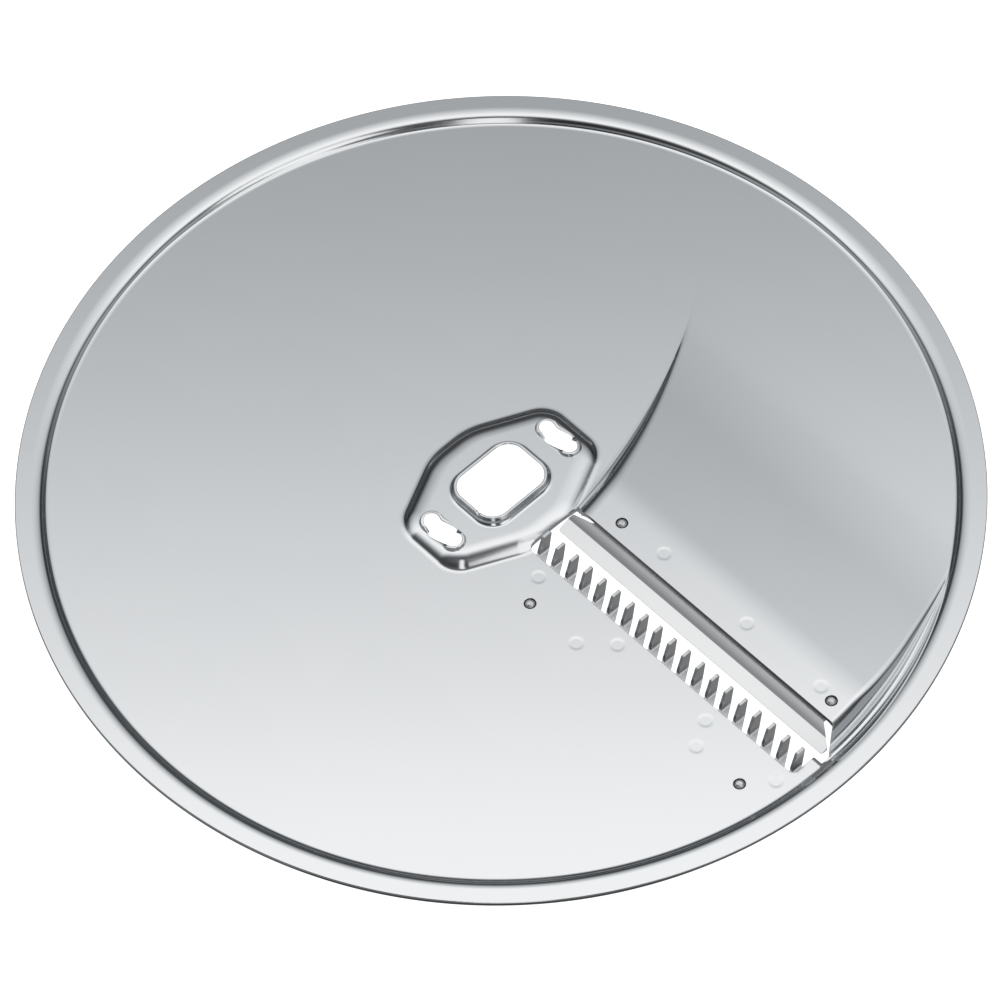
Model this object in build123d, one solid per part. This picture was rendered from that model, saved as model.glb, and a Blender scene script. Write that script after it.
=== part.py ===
from build123d import *
import math
import os

# A pressed steel disc with a welded slicing blade and a welded comb of upright teeth.
# X runs along the blade from the drive axis to the rim, Y from the teeth to the blade,
# and Z up. The drive axis is the Z axis, and Z is zero at the underside of the comb.

# Driving dimensions, in millimetres and degrees

# Sheet and rim
disc_diameter = 148.0
sheet_thickness = 0.8
sheet_edge_radius = 0.15
flange_width = 2.3
rim_height = 1.4
rim_crown_radius = 2.6
rim_root_radius = 0.9

# Drive hub
boss_width = 21.6
boss_length = 30.4
boss_end_width = 10.6
boss_side_length = 7.4
boss_corner_radius = 4.0
boss_shoulder_radius = 11.0
boss_height = 1.4
boss_wall_angle = 36.0
boss_crown_radius = 5.0
boss_root_radius = 1.6
drive_hole_width = 9.4
drive_hole_length = 12.6
drive_hole_corner_radius = 2.8
collar_height = 1.3
collar_wall = 0.55
collar_root_radius = 0.9
collar_top_radius = 0.2
collar_nick_width = 0.4
slot_pitch = 24.4
slot_length = 7.3
slot_width = 2.5
slot_waist_length = 2.9
slot_waist_width = 3.6
slot_lip_height = 0.6
slot_lip_wall = 0.5

# Raised landing and ramp behind the blade
landing_height = 3.5
landing_depth = 6.6
ramp_length = 32.6
ramp_bend_length = 4.0
ramp_runout_length = 14.0
ramp_runout_share = 0.15
inner_wall_gap = 0.05
inner_wall_angle = 8.2
inner_wall_radius = 106.0
inner_wall_width = 4.2
inner_wall_tip_width = 0.8
outer_wall_gap = 0.2
outer_wall_width = 2.8
outer_wall_tip_width = 0.8
outer_wall_flare = 2.4
outer_wall_flare_length = 19.8
wall_root_share = 0.06
wall_crown_share = 0.80
wall_offset_angle = 35.0

# Opening for the blade and the teeth
opening_front = -4.4
opening_corner_radius = 0.8
opening_start_gap = 1.3
opening_end_gap = 1.1
opening_relief_length = 2.2
opening_relief_depth = 1.4
blade_notch_rim_gap = 0.15
blade_notch_front_gap = 0.3
blade_notch_back_gap = 3.2
blade_notch_slant = 0.7

# Slicing blade
blade_edge_y = 0.3
blade_thickness = 1.0
blade_edge_thickness = 0.1
blade_bevel_width = 2.1
blade_reveal = 2.2
blade_start_gap = 1.6
blade_tip_gap = 0.4
blade_tip_width = 1.2
blade_trim = 1.1
blade_seat_clearance = 0.15
blade_corner_radius = 0.35

# Toothed comb
comb_thickness = 0.5
comb_depth = 9.0
tooth_pitch = 3.0
tooth_hub_gap = 1.2
tooth_rim_gap = 2.8
tooth_height = 2.6
tooth_top_y = -2.65
tooth_top_length = 1.65
tooth_front_rake = 18.0
tooth_back_rake = 8.0
tooth_corner_radius = 0.25
finger_root_width = 2.4
fold_radius = 0.45

# Locating pips and spot welds
pip_diameter = 1.7
pip_clearance = 0.1
pip_proud = 0.25
pip_dome_radius = 0.6
pip_dimple_diameter = 0.9
weld_diameter = 2.1
weld_depth = 0.07
blade_pip_setback = 2.65
blade_pip_end_gaps = (3.3, 1.1)
blade_weld_setback = 3.3
blade_weld_shares = (0.24, 0.60, 0.92)
comb_pip_setback = 6.8
comb_pip_end_gaps = (6.5, 5.7)
comb_near_weld_setback = 2.6
comb_near_weld_shares = (0.07, 0.37, 0.70, 0.96)
comb_far_weld_shares = (0.29, 0.74)

# Heights

main_bottom = comb_thickness
main_top = main_bottom + sheet_thickness
flange_top = main_top + rim_height
boss_top = main_top + boss_height
landing_top = main_top + landing_height
landing_bottom = landing_top - sheet_thickness
blade_bottom = landing_bottom - blade_thickness
tooth_top = main_top + tooth_height

# Rim, ramp and opening

disc_radius = disc_diameter / 2
rim_slope = math.acos(1 - rim_height / (rim_crown_radius + rim_root_radius))
rim_crown_start = disc_radius - flange_width
rim_root_end = rim_crown_start - (rim_crown_radius + rim_root_radius) * math.sin(rim_slope)
landing_front = blade_edge_y + blade_bevel_width + blade_reveal
landing_back = landing_front + landing_depth
ramp_end = landing_back + ramp_length
runout_start = ramp_end - ramp_runout_length
ramp_slope = landing_height / (ramp_length - ramp_runout_length * (1 - ramp_runout_share) / 2)
wall_offset = math.tan(math.radians(wall_offset_angle))
outer_wall_radius = rim_root_end - outer_wall_gap
first_tooth_x = boss_width / 2 + tooth_hub_gap
tooth_room = rim_root_end - tooth_rim_gap - first_tooth_x
tooth_count = int(tooth_room / tooth_pitch) + 1
last_tooth_x = first_tooth_x + tooth_pitch * (tooth_count - 1)
opening_start = first_tooth_x - opening_start_gap
opening_end = last_tooth_x + opening_end_gap
inner_wall_start = opening_start + inner_wall_gap
inner_wall_center_x = inner_wall_start - inner_wall_radius * math.cos(math.radians(inner_wall_angle))
inner_wall_center_y = landing_front - inner_wall_radius * math.sin(math.radians(inner_wall_angle))

# Solids below the sheet's two faces reach past the sheet, and the raised sector sinks
# its edges a hair into the sheet so that the faces cross cleanly
form_bottom = -10.0
form_top = landing_top + 10.0
form_overrun = 1.0
wall_root_sink = 0.06
ramp_end_sink = 0.03
sector_stations = 3


def arc_point(center_x, center_z, radius, angle):
    """Point on a circle in the X-Z plane, at an angle from straight down."""
    return (center_x + radius * math.sin(angle), 0, center_z - radius * math.cos(angle))


def rim_form(depth):
    """Round body under the surface that lies the given depth below the sheet's top."""
    top = main_top - depth
    flange = flange_top - depth
    bottom = form_bottom - depth
    reach = disc_radius + (form_overrun if depth else 0)
    root = (rim_root_end, main_top + rim_root_radius, rim_root_radius + depth)
    crown = (rim_crown_start, flange_top - rim_crown_radius, rim_crown_radius - depth)
    groove_end = (rim_root_end, 0, top)
    flange_start = (rim_crown_start, 0, flange)
    slope_point = arc_point(*root, rim_slope)
    outline = [
        Line((0, 0, top), groove_end),
        ThreePointArc(groove_end, arc_point(*root, rim_slope / 2), slope_point),
        ThreePointArc(slope_point, arc_point(*crown, math.pi + rim_slope / 2), flange_start),
        Polyline(flange_start, (reach, 0, flange), (reach, 0, bottom), (0, 0, bottom), (0, 0, top)),
    ]
    return revolve(make_face(outline), Axis.Z)


def boss_outline(growth):
    """Long octagon of the hub, grown or shrunk all round."""
    corner = (boss_end_width / 2, boss_length / 2)
    shoulder = (boss_width / 2, boss_side_length / 2)
    right = [corner, shoulder, (shoulder[0], -shoulder[1]), (corner[0], -corner[1])]
    left = [(-x, -y) for x, y in right]
    octagon = make_face(Polyline(*right, *left, close=True))
    shoulders = octagon.vertices().filter_by(lambda vertex: abs(vertex.Y) < boss_side_length)
    octagon = fillet(shoulders, boss_shoulder_radius)
    ends = octagon.vertices().filter_by(lambda vertex: abs(vertex.Y) > boss_side_length)
    return offset(fillet(ends, boss_corner_radius), growth)


def boss_form(depth):
    """Raised hub under the surface that lies the given depth below the sheet's top."""
    slope = math.radians(boss_wall_angle)
    half_run = boss_height / math.tan(slope) / 2
    inset = depth * math.tan(slope / 2)
    foot = Pos(0, 0, main_top - depth) * boss_outline(half_run - inset)
    head = Pos(0, 0, boss_top - depth) * boss_outline(-half_run - inset)
    body = loft([foot, head], ruled=True)
    crown = body.faces().sort_by(Axis.Z)[-1].edges()
    return fillet(crown, boss_crown_radius - depth)


def ramp_height(y):
    """Height of the landing and ramp above the sheet, with a soft bend and a soft run-out."""
    half_bend = ramp_bend_length / 2
    past_bend = y - landing_back
    past_runout = max(0, y - runout_start)
    if past_bend < -half_bend:
        return landing_height
    if past_bend < half_bend:
        return landing_height - ramp_slope * (past_bend + half_bend) ** 2 / (2 * ramp_bend_length)
    lift = ramp_slope * (1 - ramp_runout_share) * past_runout ** 2 / (2 * ramp_runout_length)
    return landing_height - ramp_slope * past_bend + lift


def inner_wall_x(y):
    """Foot of the raised sector's wall on the hub side."""
    return inner_wall_center_x + math.sqrt(inner_wall_radius ** 2 - (y - inner_wall_center_y) ** 2)


def outer_wall_x(y):
    """Foot of the wall on the rim side, which leaves the groove and runs into the rim."""
    flare_start = ramp_end - outer_wall_flare_length
    flare = outer_wall_flare * (max(0, y - flare_start) / outer_wall_flare_length) ** 2
    return math.sqrt((outer_wall_radius + flare) ** 2 - y ** 2)


def sector_section(y, depth):
    """Cross-section of the raised sector at one distance from the blade line."""
    share = max(0, ramp_height(y)) / landing_height
    inner_width = inner_wall_tip_width + (inner_wall_width - inner_wall_tip_width) * share
    outer_width = outer_wall_tip_width + (outer_wall_width - outer_wall_tip_width) * share
    crown = main_top + ramp_height(y) - depth
    root = main_top - wall_root_sink - depth
    bottom = form_bottom - depth
    left = inner_wall_x(y) + wall_offset * depth
    right = outer_wall_x(y) - wall_offset * depth

    def wall(foot, width):
        """Soft step from the foot of a wall up to its crown."""
        return Bezier(
            (foot, y, root),
            (foot + wall_root_share * width, y, root),
            (foot + (1 - wall_crown_share) * width, y, crown),
            (foot + width, y, crown),
        )

    outline = [
        wall(left, inner_width),
        Line((left + inner_width, y, crown), (right - outer_width, y, crown)),
        wall(right, -outer_width),
        Line((right, y, root), (right, y, bottom)),
        Line((right, y, bottom), (left, y, bottom)),
        Line((left, y, bottom), (left, y, root)),
    ]
    return make_face(outline)


def sector_form(depth):
    """Landing and ramp under the surface that lies the given depth below the sheet's top."""
    bend_start = landing_back - ramp_bend_length / 2
    bend_end = landing_back + ramp_bend_length / 2
    end = ramp_end + ramp_end_sink / (ramp_slope * ramp_runout_share)
    bounds = [blade_edge_y, bend_start, bend_end, runout_start, end]
    pieces = []
    for start, stop in zip(bounds, bounds[1:]):
        step = (stop - start) / sector_stations
        stations = [start + step * i for i in range(sector_stations + 1)]
        pieces.append(loft([sector_section(y, depth) for y in stations]))
    return pieces[0] + pieces[1:]


def press_form(depth):
    """Everything under the surface that lies the given depth below the sheet's top."""
    form = rim_form(depth) + boss_form(depth)
    level = form.edges().filter_by_position(Axis.Z, main_top - depth, main_top - depth)
    boss_foot = [edge for edge in level if edge.length < boss_length]
    return fillet(boss_foot, boss_root_radius + depth) + sector_form(depth)


def drill(diameter, bottom, top, places):
    """Upright round rods at the given places, to cut or to add."""
    rod = Cylinder(diameter / 2, top - bottom, align=(Align.CENTER, Align.CENTER, Align.MIN))
    return [Pos(x, y, bottom) * rod for x, y in places]


def opening_outline():
    """Opening for the teeth and the blade, with a notch for the blade's tip and a relief cut."""
    notch_end = rim_root_end - blade_notch_rim_gap
    notch_front = blade_edge_y - blade_notch_front_gap
    notch_back = landing_front - blade_notch_back_gap
    corners = [
        (opening_start, opening_front),
        (opening_end, opening_front),
        (opening_end, notch_front),
        (notch_end, notch_front),
        (notch_end, notch_back),
        (opening_end - blade_notch_slant, landing_front),
        (opening_start + opening_relief_length, landing_front),
        (opening_start, landing_front + opening_relief_depth),
    ]
    face = make_face(Polyline(*corners, close=True))
    front = face.vertices().group_by(Axis.Y)[0]
    return fillet(front, opening_corner_radius)


def drive_hole(growth):
    """Rounded rectangle of the drive hole, grown all round."""
    return RectangleRounded(
        drive_hole_width + 2 * growth,
        drive_hole_length + 2 * growth,
        drive_hole_corner_radius + growth,
    )


def add_drive_collar(sheet):
    """Cut the drive hole and turn its edge up into a collar."""
    collar = extrude(drive_hole(collar_wall), collar_height + sheet_thickness)
    sheet += Pos(0, 0, boss_top - sheet_thickness) * collar
    root = sheet.edges().filter_by_position(Axis.Z, boss_top, boss_top)
    reach = drive_hole_length / 2 + 2 * collar_wall
    collar_root = [edge for edge in root if edge.center().length < math.hypot(reach, boss_top)]
    sheet = fillet(collar_root, collar_root_radius)
    sheet -= Pos(0, 0, form_bottom) * extrude(drive_hole(0), form_top - form_bottom)
    collar_top = boss_top + collar_height
    sheet = fillet(sheet.edges().filter_by_position(Axis.Z, collar_top, collar_top), collar_top_radius)
    nick = Box(collar_nick_width, 2 * collar_wall, collar_height)
    nick_x = drive_hole_width / 2 - drive_hole_corner_radius
    nick_y = -drive_hole_length / 2 - collar_wall / 2
    return sheet - Pos(nick_x, nick_y, collar_top) * nick


def add_drive_slots(sheet):
    """Cut the two drive slots and turn up the lips at their ends."""
    slot = SlotOverall(slot_length, slot_width)
    waist = Rectangle(slot_waist_length, slot_waist_width)
    lip = SlotOverall(slot_length + 2 * slot_lip_wall, slot_width + 2 * slot_lip_wall) - waist
    lip_height = slot_lip_height + sheet_thickness
    for side in (1, -1):
        place = Pos(0, side * slot_pitch / 2, 0)
        sheet += place * Pos(0, 0, boss_top - sheet_thickness) * extrude(lip, lip_height)
        sheet -= place * Pos(0, 0, form_bottom) * extrude(slot + waist, form_top - form_bottom)
    return sheet


def disc_plate():
    """Pressed sheet with its rim, hub, landing, ramp and cut openings."""
    sheet = press_form(0) - press_form(sheet_thickness)
    rim_edges = sheet.edges().filter_by(GeomType.CIRCLE).group_by(SortBy.RADIUS)[-1]
    sheet = fillet(rim_edges, sheet_edge_radius)
    sheet -= Pos(0, 0, form_bottom) * extrude(opening_outline(), form_top - form_bottom)
    sheet = add_drive_slots(add_drive_collar(sheet))
    hole = pip_diameter + 2 * pip_clearance
    sheet -= drill(hole, form_bottom, form_top, blade_pips() + comb_pips())
    sheet -= drill(weld_diameter, landing_top - weld_depth, form_top, blade_welds())
    sheet -= drill(weld_diameter, main_top - weld_depth, form_top, comb_welds())
    return sheet


def locating_pip(base, top):
    """Domed locating pip that fills a hole in the sheet."""
    body = Cylinder(pip_diameter / 2, top - base, align=(Align.CENTER, Align.CENTER, Align.MIN))
    dome = body.edges().sort_by(Axis.Z)[-1]
    return fillet(dome, pip_dome_radius)


# Blade seat under the landing

blade_start = opening_start + blade_start_gap
blade_tip = rim_root_end - blade_notch_rim_gap - blade_tip_gap
blade_back = landing_back - ramp_bend_length / 2 - blade_seat_clearance
seat_inset = wall_offset * sheet_thickness + blade_seat_clearance
seat_start = inner_wall_x(landing_front) + inner_wall_width + seat_inset
seat_end = outer_wall_x(blade_back) - outer_wall_width - seat_inset
seat_length = seat_end - seat_start


def blade_pips():
    """Places of the blade's two locating pips."""
    start_gap, end_gap = blade_pip_end_gaps
    y = landing_front + blade_pip_setback
    return [(seat_start + start_gap, y), (seat_end - end_gap, y)]


def blade_welds():
    """Places of the spot welds along the blade."""
    y = landing_front + blade_weld_setback
    return [(seat_start + share * seat_length, y) for share in blade_weld_shares]


def slicing_blade():
    """Flat strip, ground to a bevel along its cutting edge and trimmed to fit the opening."""
    bevel_back = blade_edge_y + blade_bevel_width
    edge_top = blade_bottom + blade_edge_thickness
    section = make_face(
        Polyline(
            (0, blade_edge_y, blade_bottom),
            (0, blade_back, blade_bottom),
            (0, blade_back, landing_bottom),
            (0, bevel_back, landing_bottom),
            (0, blade_edge_y, edge_top),
            close=True,
        )
    )
    plan = make_face(
        Polyline(
            (blade_start, blade_edge_y),
            (blade_tip, blade_edge_y),
            (blade_tip, blade_edge_y + blade_tip_width),
            (seat_end, landing_front - blade_seat_clearance),
            (seat_end, blade_back),
            (seat_start, blade_back),
            (seat_start, landing_front - blade_seat_clearance),
            (blade_start, landing_front - blade_trim),
            close=True,
        )
    )
    plan = fillet(plan.vertices(), blade_corner_radius)
    blade = extrude(section, disc_radius, dir=(1, 0, 0)) & extrude(plan, form_top)
    pip = locating_pip(landing_bottom, landing_top + pip_proud)
    blade += [Pos(x, y, landing_bottom) * pip for x, y in blade_pips()]
    blade -= drill(pip_dimple_diameter, form_bottom, landing_bottom + sheet_thickness / 2, blade_pips())
    blade -= drill(weld_diameter, form_bottom, blade_bottom + weld_depth, blade_welds())
    return blade


# Comb strip under the sheet

comb_start = first_tooth_x - comb_thickness
comb_end = last_tooth_x + finger_root_width
comb_length = comb_end - comb_start


def comb_pips():
    """Places of the comb's two locating pips."""
    start_gap, end_gap = comb_pip_end_gaps
    y = opening_front - comb_pip_setback
    return [(comb_start + start_gap, y), (comb_end - end_gap, y)]


def comb_welds():
    """Places of the spot welds in two rows along the comb."""
    near_y = opening_front - comb_near_weld_setback
    far_y = opening_front - comb_pip_setback
    near = [(comb_start + share * comb_length, near_y) for share in comb_near_weld_shares]
    far = [(comb_start + share * comb_length, far_y) for share in comb_far_weld_shares]
    return near + far


def comb_finger():
    """One finger of the comb: a flat triangular foot with its hub side folded up as a tooth."""
    back = opening_front - comb_thickness
    lean = math.tan(math.radians(tooth_front_rake))
    lead_foot = tooth_top_y - (tooth_top - comb_thickness) * lean
    trail_top = tooth_top_y + tooth_top_length
    trail_foot = trail_top - tooth_top * math.tan(math.radians(tooth_back_rake))
    fold = make_face(
        Polyline(
            (0, back, 0),
            (finger_root_width, back, 0),
            (finger_root_width, back, comb_thickness),
            (comb_thickness, back, comb_thickness),
            (comb_thickness, back, tooth_top),
            (0, back, tooth_top),
            close=True,
        )
    )
    side = make_face(
        Polyline(
            (0, back, 0),
            (0, back, comb_thickness),
            (0, lead_foot, comb_thickness),
            (0, tooth_top_y, tooth_top),
            (0, trail_top, tooth_top),
            (0, trail_foot, 0),
            close=True,
        )
    )
    side = fillet(side.vertices().group_by(Axis.Z)[-1], tooth_corner_radius)
    plan = make_face(
        Polyline(
            (0, back),
            (finger_root_width, back),
            (finger_root_width, opening_front),
            (comb_thickness, trail_foot),
            (comb_thickness, trail_top),
            (0, trail_top),
            close=True,
        )
    )
    inside = fold.vertices().sort_by_distance((comb_thickness, back, comb_thickness))[0]
    fold = fillet(inside, fold_radius)
    outside = fold.vertices().sort_by_distance((0, back, 0))[0]
    fold = fillet(outside, fold_radius + comb_thickness)
    finger = extrude(fold, trail_top - back, dir=(0, 1, 0))
    finger &= extrude(side, finger_root_width, dir=(1, 0, 0))
    finger &= extrude(plan, tooth_top)
    return Pos(-comb_thickness / 2, 0, 0) * finger


def julienne_comb():
    """Thin strip with a row of fingers, each folded up into a cutting tooth."""
    strip = Pos(comb_start, opening_front, 0) * Box(
        comb_length, comb_depth, comb_thickness, align=(Align.MIN, Align.MAX, Align.MIN)
    )
    finger = comb_finger()
    comb = strip + [Pos(first_tooth_x + i * tooth_pitch, 0, 0) * finger for i in range(tooth_count)]
    pip = locating_pip(comb_thickness, main_top + pip_proud)
    comb += [Pos(x, y, comb_thickness) * pip for x, y in comb_pips()]
    comb -= drill(pip_dimple_diameter, form_bottom, comb_thickness + sheet_thickness / 2, comb_pips())
    comb -= drill(weld_diameter, form_bottom, weld_depth, comb_welds())
    return comb


os.makedirs("parts", exist_ok=True)
export_step(disc_plate(), "parts/disc_plate.step")
export_step(slicing_blade(), "parts/slicing_blade.step")
export_step(julienne_comb(), "parts/julienne_comb.step")
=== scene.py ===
import bpy
import math
import numpy as np
from mathutils import Matrix, Vector
from mathutils.geometry import delaunay_2d_cdt


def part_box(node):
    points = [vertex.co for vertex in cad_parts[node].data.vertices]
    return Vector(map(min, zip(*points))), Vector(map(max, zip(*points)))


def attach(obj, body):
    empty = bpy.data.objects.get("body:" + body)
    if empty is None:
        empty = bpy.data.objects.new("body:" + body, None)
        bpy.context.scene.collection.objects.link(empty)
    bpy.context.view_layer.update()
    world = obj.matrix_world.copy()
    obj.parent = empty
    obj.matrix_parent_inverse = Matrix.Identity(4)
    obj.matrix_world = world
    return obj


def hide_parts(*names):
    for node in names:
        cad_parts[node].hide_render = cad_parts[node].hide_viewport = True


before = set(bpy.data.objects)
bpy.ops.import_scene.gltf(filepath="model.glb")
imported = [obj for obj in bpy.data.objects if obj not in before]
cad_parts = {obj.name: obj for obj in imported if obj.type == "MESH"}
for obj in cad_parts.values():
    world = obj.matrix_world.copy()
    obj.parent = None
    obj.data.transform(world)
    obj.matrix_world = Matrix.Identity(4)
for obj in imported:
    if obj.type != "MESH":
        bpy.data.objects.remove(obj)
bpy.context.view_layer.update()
MM = 0.001

# Sizes of the pressed sheet, in millimetres and degrees
disc_low, disc_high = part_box("disc_plate")
SHEET = 0.8
DISC_RADIUS = disc_high[0] / MM
MAIN_TOP = disc_low[2] / MM + SHEET
LANDING_HEIGHT = disc_high[2] / MM - MAIN_TOP
RIM_EDGE = 0.15
RIM_HEIGHT = 1.4
RIM_CROWN = 2.6
RIM_ROOT = 0.9
RIM_SLOPE = math.acos(1 - RIM_HEIGHT / (RIM_CROWN + RIM_ROOT))
RIM_CROWN_START = DISC_RADIUS - 2.3
RIM_ROOT_END = RIM_CROWN_START - (RIM_CROWN + RIM_ROOT) * math.sin(RIM_SLOPE)
RIM_STEPS = 480

BOSS_HEIGHT = 1.4
BOSS_SLOPE = math.radians(36)
BOSS_CROWN = 5.0
BOSS_ROOT = 1.6
BOSS_CORNERS = [(5.3, -15.2), (10.8, -3.7), (10.8, 3.7), (5.3, 15.2),
                (-5.3, 15.2), (-10.8, 3.7), (-10.8, -3.7), (-5.3, -15.2)]
BOSS_RADII = [4, 11, 11, 4, 4, 11, 11, 4]
DRIVE_HOLE = (9.4, 12.6, 2.8)
COLLAR_HEIGHT = 1.3
COLLAR_WALL = 0.55
COLLAR_ROOT = 0.9
COLLAR_TOP = 0.2
NICK_X = 1.9
NICK_HALF = 0.2
SLOT_PLACE = 12.2
SLOT_HALF = 2.4
SLOT_RADIUS = 1.25
WAIST = (1.45, 1.8)
WAIST_CORNER = 0.1
WAIST_REACH = 0.35
LIP_HEIGHT = 0.6
LIP_REACH = 0.7
LIP_RISE = 0.35

BLADE_EDGE = 0.3
LANDING_FRONT = 4.6
LANDING_BACK = 11.2
BEND = 4.0
RAMP_END = 43.8
RUNOUT = 14.0
RUNOUT_SHARE = 0.15
RAMP_SLOPE = LANDING_HEIGHT / (RAMP_END - LANDING_BACK - RUNOUT * (1 - RUNOUT_SHARE) / 2)
INNER_START = 10.75
INNER_RADIUS = 106.0
INNER_ANGLE = math.radians(8.2)
INNER_CENTER = (INNER_START - INNER_RADIUS * math.cos(INNER_ANGLE),
                LANDING_FRONT - INNER_RADIUS * math.sin(INNER_ANGLE))
INNER_WIDTH = (0.8, 4.2)
OUTER_RADIUS = RIM_ROOT_END - 0.2
OUTER_WIDTH = (0.8, 2.8)
FLARE = 2.4
FLARE_LENGTH = 19.8
FLARE_START = RAMP_END - FLARE_LENGTH
WALL_SHARES = (0.06, 0.20)
WALL_OFFSET = math.tan(math.radians(35))
WALL_SINK = 0.06
OUTSIDE_FALL = 0.4
NO_SECTOR = -1.0
CREASE = 0.12
WIDE_CREASE = 0.35
GROOVE = 0.6
GROOVE_START = OUTER_RADIUS - 0.5
GROOVE_END = RIM_CROWN_START + 0.2
TIP_START = RAMP_END - 6.0
TIP_TURN = math.radians(50)
TIP_LOWEST = -WALL_SINK - 0.02

OPENING = [(10.7, -4.4), (67.1, -4.4), (67.1, 0.0), (RIM_ROOT_END - 0.15, 0.0),
           (RIM_ROOT_END - 0.15, 1.4), (66.4, LANDING_FRONT), (12.9, LANDING_FRONT), (10.7, 6.0)]
OPENING_RADII = [0.8, 0.8, 0.2, 0.2, 0.2, 0.2, 0.2, 0.2]
SHEAR_EDGE = 0.08

# Locating pips and spot welds
SEAT_START = 15.66
SEAT_LENGTH = 48.93
COMB_START = 11.5
COMB_LENGTH = 56.9
PIP_HOLE = 0.95
PIPS = [(18.96, 7.25), (63.49, 7.25), (18.0, -11.2), (62.7, -11.2)]
WELD_RADIUS = 1.05
WELD_DEPTH = 0.05
WELD_SOFTNESS = 0.3
WELDS = [(SEAT_START + share * SEAT_LENGTH, 7.9) for share in (0.24, 0.60, 0.92)]
WELDS += [(COMB_START + share * COMB_LENGTH, -7.0) for share in (0.07, 0.37, 0.70, 0.96)]
WELDS += [(COMB_START + share * COMB_LENGTH, -11.2) for share in (0.29, 0.74)]


def arc(center, radius, start, stop, count):
    """Points along a circular arc, angles in radians."""
    angles = np.linspace(start, stop, count)
    return np.column_stack((center[0] + radius * np.cos(angles), center[1] + radius * np.sin(angles)))


def corner_arcs(corners, radii):
    """Fillet circle and turning angles at each corner of a polygon that runs counter-clockwise."""
    found = []
    for i, radius in enumerate(radii):
        here = np.array(corners[i])
        before = here - corners[i - 1]
        after = np.array(corners[(i + 1) % len(corners)]) - here
        start = math.atan2(before[1], before[0])
        turn = (math.atan2(after[1], after[0]) - start + math.pi) % (2 * math.pi) - math.pi
        side = math.copysign(1, turn)
        half = math.tan(abs(turn) / 2) * radius
        left = np.array([-math.sin(start), math.cos(start)])
        center = here - half * np.array([math.cos(start), math.sin(start)]) + side * radius * left
        first = start - side * math.pi / 2
        found.append((center, side * radius, first, first + turn))
    return found


def rounded_loop(corners, radii, growth, step):
    """Outline of a polygon with rounded corners, grown all round and cut into short steps."""
    pieces = []
    for center, radius, first, last in corner_arcs(corners, radii):
        reach = abs(radius + growth)
        count = max(4, int(abs(last - first) * reach / step) + 2)
        pieces.append(arc(center, reach, first, last, count))
    points = []
    for piece, following in zip(pieces, pieces[1:] + pieces[:1]):
        points.append(piece)
        gap = following[0] - piece[-1]
        count = int(np.hypot(*gap) / step) + 1
        shares = np.arange(1, count)[:, None] / count
        points.append(piece[-1] + shares * gap)
    return np.concatenate(points)


def rim_profile(radius, depth):
    """Height of the rim above the main sheet, at a distance from the axis."""
    root = RIM_ROOT + depth
    crown = RIM_CROWN - depth
    past_root = np.clip(radius - RIM_ROOT_END, 0, root * math.sin(RIM_SLOPE))
    before_crown = np.clip(RIM_CROWN_START - radius, 0, crown * math.sin(RIM_SLOPE))
    on_root = root - np.sqrt(root ** 2 - past_root ** 2)
    on_crown = RIM_HEIGHT - crown + np.sqrt(crown ** 2 - before_crown ** 2)
    return np.where(radius < RIM_ROOT_END + root * math.sin(RIM_SLOPE), on_root, on_crown)


def boss_distance(x, y):
    """Distance outside the hub's outline at mid height, negative inside it."""
    corners = np.array(BOSS_CORNERS)
    ahead = np.roll(corners, -1, axis=0) - corners
    normals = np.column_stack((ahead[:, 1], -ahead[:, 0])) / np.hypot(*ahead.T)[:, None]
    beyond = [normal[0] * (x - corner[0]) + normal[1] * (y - corner[1])
              for normal, corner in zip(normals, corners)]
    distance = np.max(beyond, axis=0)
    for center, radius, first, last in corner_arcs(BOSS_CORNERS, BOSS_RADII):
        over_x = x - center[0]
        over_y = y - center[1]
        past_first = math.cos(first) * over_y - math.sin(first) * over_x
        before_last = over_x * math.sin(last) - over_y * math.cos(last)
        in_corner = (past_first > 0) & (before_last > 0)
        distance = np.where(in_corner, np.hypot(over_x, over_y) - radius, distance)
    return distance


def boss_profile(distance, depth):
    """Height of the hub above the main sheet, at a distance outside its outline."""
    lean = math.tan(BOSS_SLOPE / 2)
    half_run = BOSS_HEIGHT / math.tan(BOSS_SLOPE) / 2
    distance = distance + depth * lean
    root = BOSS_ROOT + depth
    crown = BOSS_CROWN - depth
    foot = half_run + root * lean
    head = -half_run - crown * lean
    into_root = np.clip(foot - distance, 0, root * math.sin(BOSS_SLOPE))
    into_crown = np.clip(distance - head, 0, crown * math.sin(BOSS_SLOPE))
    on_root = root - np.sqrt(root ** 2 - into_root ** 2)
    on_crown = BOSS_HEIGHT - crown + np.sqrt(crown ** 2 - into_crown ** 2)
    on_wall = (half_run - distance) * math.tan(BOSS_SLOPE)
    below = distance > foot - root * math.sin(BOSS_SLOPE)
    above = distance < head + crown * math.sin(BOSS_SLOPE)
    return np.where(below, on_root, np.where(above, on_crown, on_wall))


def ramp_height(y):
    """Height of the landing and ramp above the main sheet."""
    past_bend = y - LANDING_BACK
    in_bend = np.clip(past_bend + BEND / 2, 0, BEND)
    after_bend = np.maximum(past_bend - BEND / 2, 0)
    in_runout = np.clip(y - RAMP_END + RUNOUT, 0, RUNOUT)
    after_runout = np.maximum(y - RAMP_END, 0)
    fall = in_bend ** 2 / (2 * BEND) + after_bend
    lift = (1 - RUNOUT_SHARE) * (in_runout ** 2 / (2 * RUNOUT) + after_runout)
    return LANDING_HEIGHT - RAMP_SLOPE * (fall - lift)


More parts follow.
